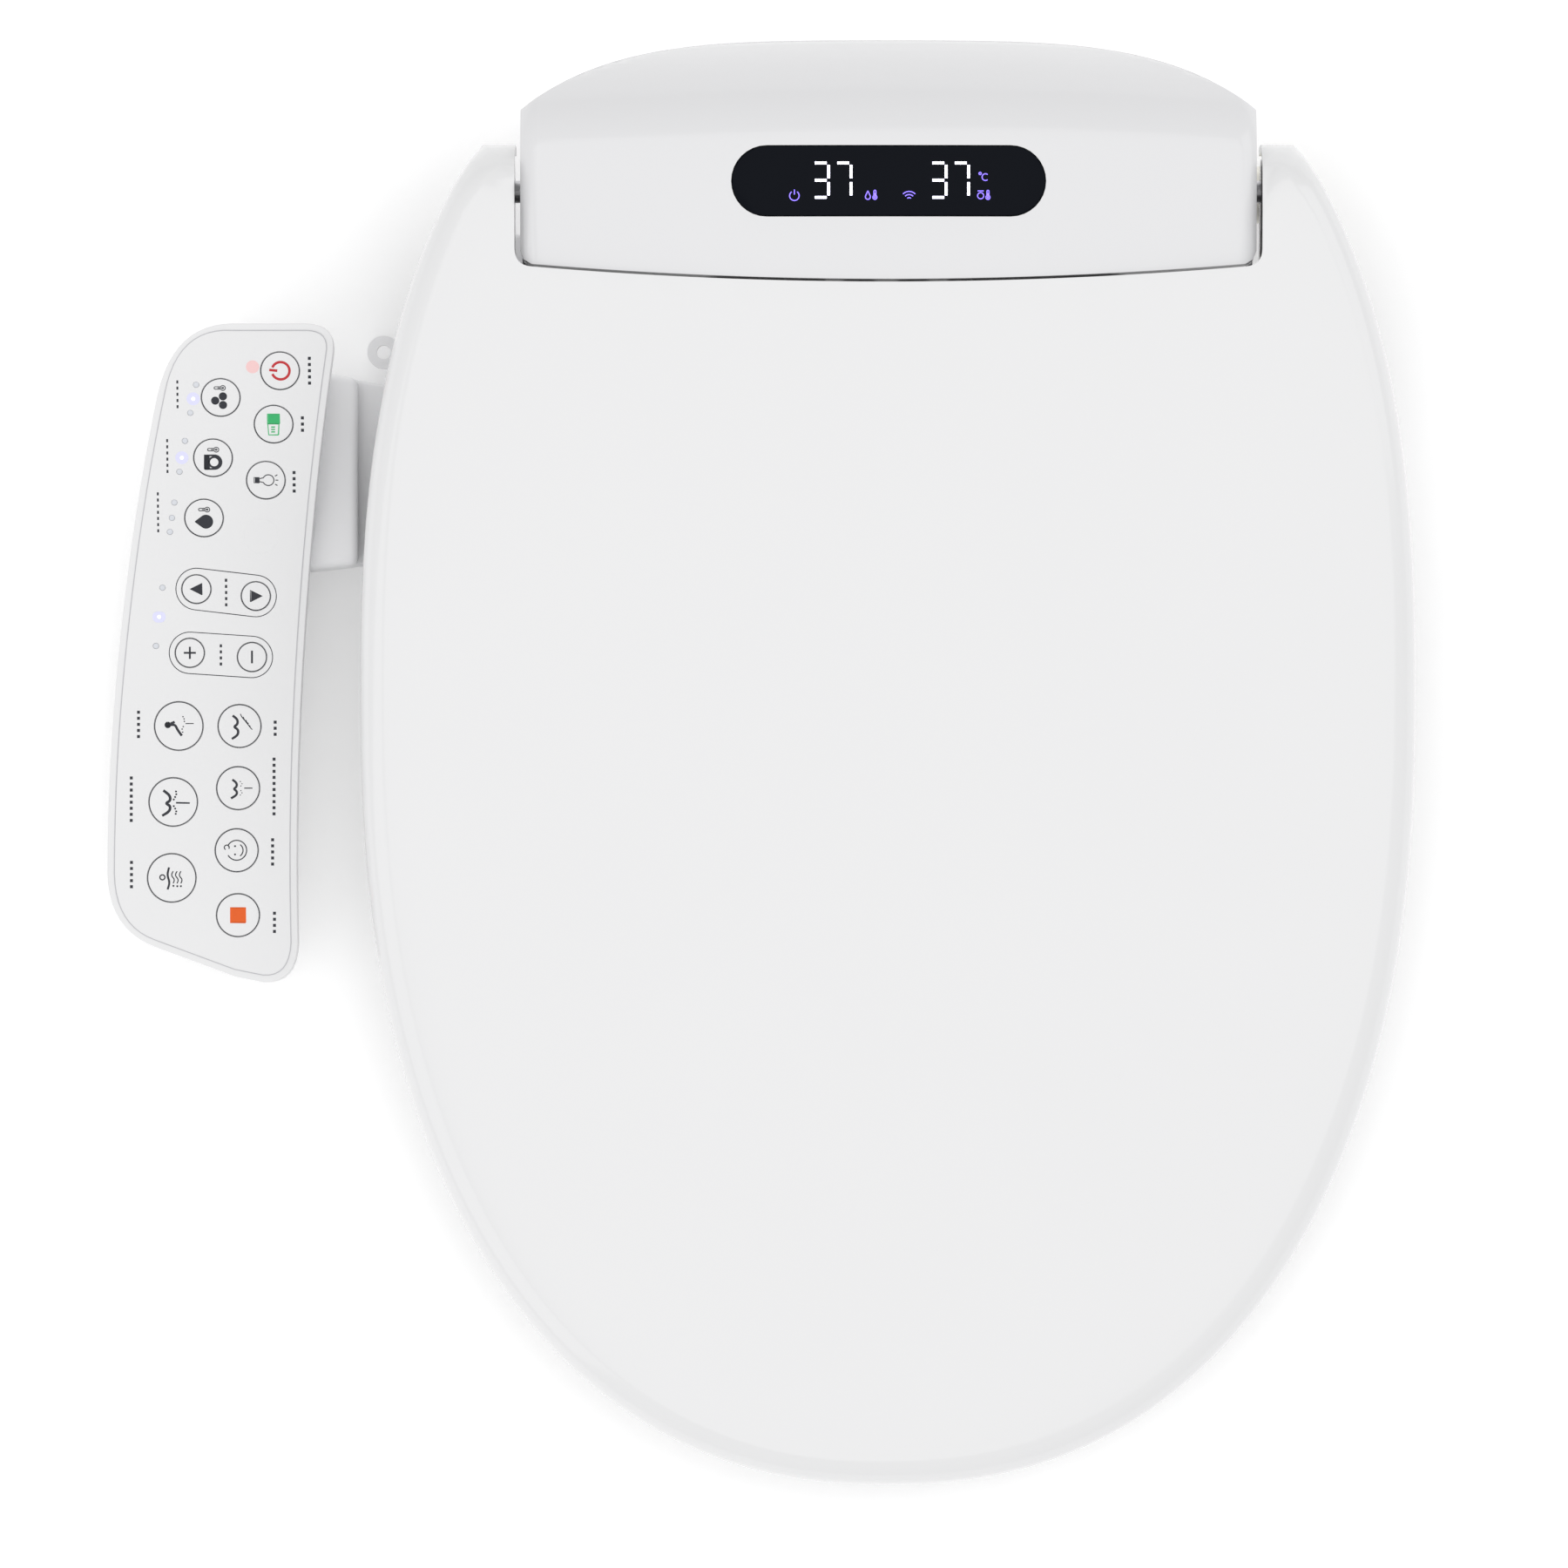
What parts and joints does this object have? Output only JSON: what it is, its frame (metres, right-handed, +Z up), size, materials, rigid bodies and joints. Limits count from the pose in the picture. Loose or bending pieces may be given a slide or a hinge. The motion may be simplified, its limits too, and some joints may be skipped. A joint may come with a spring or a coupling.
{
  "type": "electric bidet seat",
  "caption": "Heated toilet seat and lid on a housing with spray nozzles, warm-air dryer, display and a side control panel.",
  "frame": {"origin": "midway between the two bowl fixing holes, on the underside", "axes": "+Z up, +Y to the rear, +X to the sitter's left; the control panel is at -X"},
  "size_m": [0.4718, 0.5197, 0.1182],
  "materials": {
    "lid_white": "polished moulded plastic",
    "cover_white": "polished moulded plastic",
    "seat_white": "polished moulded plastic",
    "housing_white": "fine satin moulding",
    "panel_white": "satin film over moulding",
    "key_white": "satin film",
    "display_black": "polished smoked window",
    "board_green": "solder mask",
    "rubber_grey": "matt",
    "steel": "plated",
    "brass": "nickel plated",
    "inner_grey": "plain moulding",
    "dark_plastic": "plain moulding",
    "hose": "milky silicone",
    "nozzle_white": "polished",
    "heater_foil": "foil",
    "light_lens": "frosted lens",
    "print_dark": "printed ink",
    "print_red": "printed ink",
    "print_green": "printed ink",
    "print_orange": "printed ink",
    "glow": "lit segment"
  },
  "bodies": {
    "root": {"mounting_plate": "steel", "base_tray": "housing_white", "top_cover": "cover_white", "display_lens": "display_black", "display_board": "board_green", "nozzle_guard": "housing_white", "heater_tank": "inner_grey", "inlet_valve": "inner_grey", "inlet_filter": "inner_grey", "water_pump": "inner_grey", "distributor_valve": "inner_grey", "nozzle_cradle": "inner_grey", "nozzle_motors": "dark_plastic", "dryer_housing": "inner_grey", "dryer_motor": "dark_plastic", "flap_pin": "steel", "main_board": "board_green", "power_module": "dark_plastic", "lid_damper": "dark_plastic", "seat_damper": "dark_plastic", "hinge_pins": "steel", "night_light_lens": "light_lens", "cord_gland": "dark_plastic", "water_inlet": "brass", "hose_set": "hose", "cover_screws": "steel", "panel_arm": "housing_white", "panel_bottom_case": "panel_white", "panel_top_case": "panel_white", "panel_board": "board_green", "indicator_lights": "light_lens"},
    "lid": {"lid": "lid_white", "lid_bumpers": "rubber_grey"},
    "seat": {"seat_top": "seat_white", "seat_bottom": "seat_white", "seat_heater": "heater_foil", "seat_bumpers": "rubber_grey"},
    "rear_nozzle": {"rear_nozzle": "nozzle_white"},
    "front_nozzle": {"front_nozzle": "nozzle_white"},
    "fan": {"fan_wheel": "dark_plastic"},
    "dryer_flap": {"dryer_flap": "housing_white"},
    "release_button": {"release_button": "housing_white"},
    "drain_plug": {"drain_plug": "housing_white"},
    "key_power": {"key_power": "key_white"},
    "key_eco": {"key_eco": "key_white"},
    "key_light": {"key_light": "key_white"},
    "key_dry_temp": {"key_dry_temp": "key_white"},
    "key_seat_temp": {"key_seat_temp": "key_white"},
    "key_water_temp": {"key_water_temp": "key_white"},
    "key_position_up": {"key_position_up": "key_white"},
    "key_position_down": {"key_position_down": "key_white"},
    "key_flow_up": {"key_flow_up": "key_white"},
    "key_flow_down": {"key_flow_down": "key_white"},
    "key_bidet": {"key_bidet": "key_white"},
    "key_shower": {"key_shower": "key_white"},
    "key_auto": {"key_auto": "key_white"},
    "key_dry": {"key_dry": "key_white"},
    "key_turbo": {"key_turbo": "key_white"},
    "key_child": {"key_child": "key_white"},
    "key_stop": {"key_stop": "key_white"}
  },
  "joints": [
    {"name": "seat_hinge", "type": "hinge", "parent": "root", "child": "seat", "pos_m": [0, 0.004, 0.066], "axis": [1, 0, 0], "range_deg": [-105, 0]},
    {"name": "lid_hinge", "type": "hinge", "parent": "seat", "child": "lid", "pos_m": [0, 0.004, 0.066], "axis": [-1, 0, 0], "range_deg": [0, 110]},
    {"name": "rear_nozzle_slide", "type": "slide", "parent": "root", "child": "rear_nozzle", "axis": [0, -0.9397, -0.342], "range_m": [0, 0.095]},
    {"name": "front_nozzle_slide", "type": "slide", "parent": "root", "child": "front_nozzle", "axis": [0, -0.9397, -0.342], "range_m": [0, 0.095]},
    {"name": "fan_spin", "type": "hinge", "parent": "root", "child": "fan", "pos_m": [0.06, 0.002, 0.044], "axis": [1, 0, 0], "continuous": true},
    {"name": "flap_hinge", "type": "hinge", "parent": "root", "child": "dryer_flap", "pos_m": [0.047, -0.058, 0.026], "axis": [-1, 0, 0], "range_deg": [0, 28]},
    {"name": "release_press", "type": "slide", "parent": "root", "child": "release_button", "axis": [-1, 0, 0], "range_m": [0, 0.0012], "stiffness_N_per_m": 800, "springref_m": -0.001},
    {"name": "plug_pull", "type": "slide", "parent": "root", "child": "drain_plug", "axis": [-1, 0, 0], "range_m": [0, 0.014]},
    {"name": "press_power", "type": "slide", "parent": "root", "child": "key_power", "axis": [0, 0.2756, -0.9613], "range_m": [0, 0.0006], "stiffness_N_per_m": 700, "springref_m": -0.0006},
    {"name": "press_eco", "type": "slide", "parent": "root", "child": "key_eco", "axis": [0, 0.2754, -0.9613], "range_m": [0, 0.0006], "stiffness_N_per_m": 700, "springref_m": -0.0006},
    {"name": "press_light", "type": "slide", "parent": "root", "child": "key_light", "axis": [0, 0.2741, -0.9617], "range_m": [0, 0.0006], "stiffness_N_per_m": 700, "springref_m": -0.0006},
    {"name": "press_dry_temp", "type": "slide", "parent": "root", "child": "key_dry_temp", "axis": [0, 0.2756, -0.9613], "range_m": [0, 0.0006], "stiffness_N_per_m": 700, "springref_m": -0.0006},
    {"name": "press_seat_temp", "type": "slide", "parent": "root", "child": "key_seat_temp", "axis": [0, 0.2749, -0.9615], "range_m": [0, 0.0006], "stiffness_N_per_m": 700, "springref_m": -0.0006},
    {"name": "press_water_temp", "type": "slide", "parent": "root", "child": "key_water_temp", "axis": [0, 0.2698, -0.9629], "range_m": [0, 0.0006], "stiffness_N_per_m": 700, "springref_m": -0.0006},
    {"name": "press_position_up", "type": "slide", "parent": "root", "child": "key_position_up", "axis": [0, 0.2152, -0.9766], "range_m": [0, 0.0006], "stiffness_N_per_m": 700, "springref_m": -0.0006},
    {"name": "press_position_down", "type": "slide", "parent": "root", "child": "key_position_down", "axis": [0, 0.2025, -0.9793], "range_m": [0, 0.0006], "stiffness_N_per_m": 700, "springref_m": -0.0006},
    {"name": "press_flow_up", "type": "slide", "parent": "root", "child": "key_flow_up", "axis": [0, 0.0714, -0.9974], "range_m": [0, 0.0006], "stiffness_N_per_m": 700, "springref_m": -0.0006},
    {"name": "press_flow_down", "type": "slide", "parent": "root", "child": "key_flow_down", "axis": [0, 0.0637, -0.998], "range_m": [0, 0.0006], "stiffness_N_per_m": 700, "springref_m": -0.0006},
    {"name": "press_bidet", "type": "slide", "parent": "root", "child": "key_bidet", "axis": [0, 0.0066, -1], "range_m": [0, 0.0006], "stiffness_N_per_m": 700, "springref_m": -0.0006},
    {"name": "press_shower", "type": "slide", "parent": "root", "child": "key_shower", "axis": [0, 0.0004, -1], "range_m": [0, 0.0006], "stiffness_N_per_m": 700, "springref_m": -0.0006},
    {"name": "press_auto", "type": "slide", "parent": "root", "child": "key_auto", "axis": [0, 0, -1], "range_m": [0, 0.0006], "stiffness_N_per_m": 700, "springref_m": -0.0006},
    {"name": "press_dry", "type": "slide", "parent": "root", "child": "key_dry", "axis": [0, 0.0066, -1], "range_m": [0, 0.0006], "stiffness_N_per_m": 700, "springref_m": -0.0006},
    {"name": "press_turbo", "type": "slide", "parent": "root", "child": "key_turbo", "axis": [0, 0.0007, -1], "range_m": [0, 0.0006], "stiffness_N_per_m": 700, "springref_m": -0.0006},
    {"name": "press_child", "type": "slide", "parent": "root", "child": "key_child", "axis": [0, 0.0001, -1], "range_m": [0, 0.0006], "stiffness_N_per_m": 700, "springref_m": -0.0006},
    {"name": "press_stop", "type": "slide", "parent": "root", "child": "key_stop", "axis": [0, 0, -1], "range_m": [0, 0.0006], "stiffness_N_per_m": 700, "springref_m": -0.0006}
  ]
}
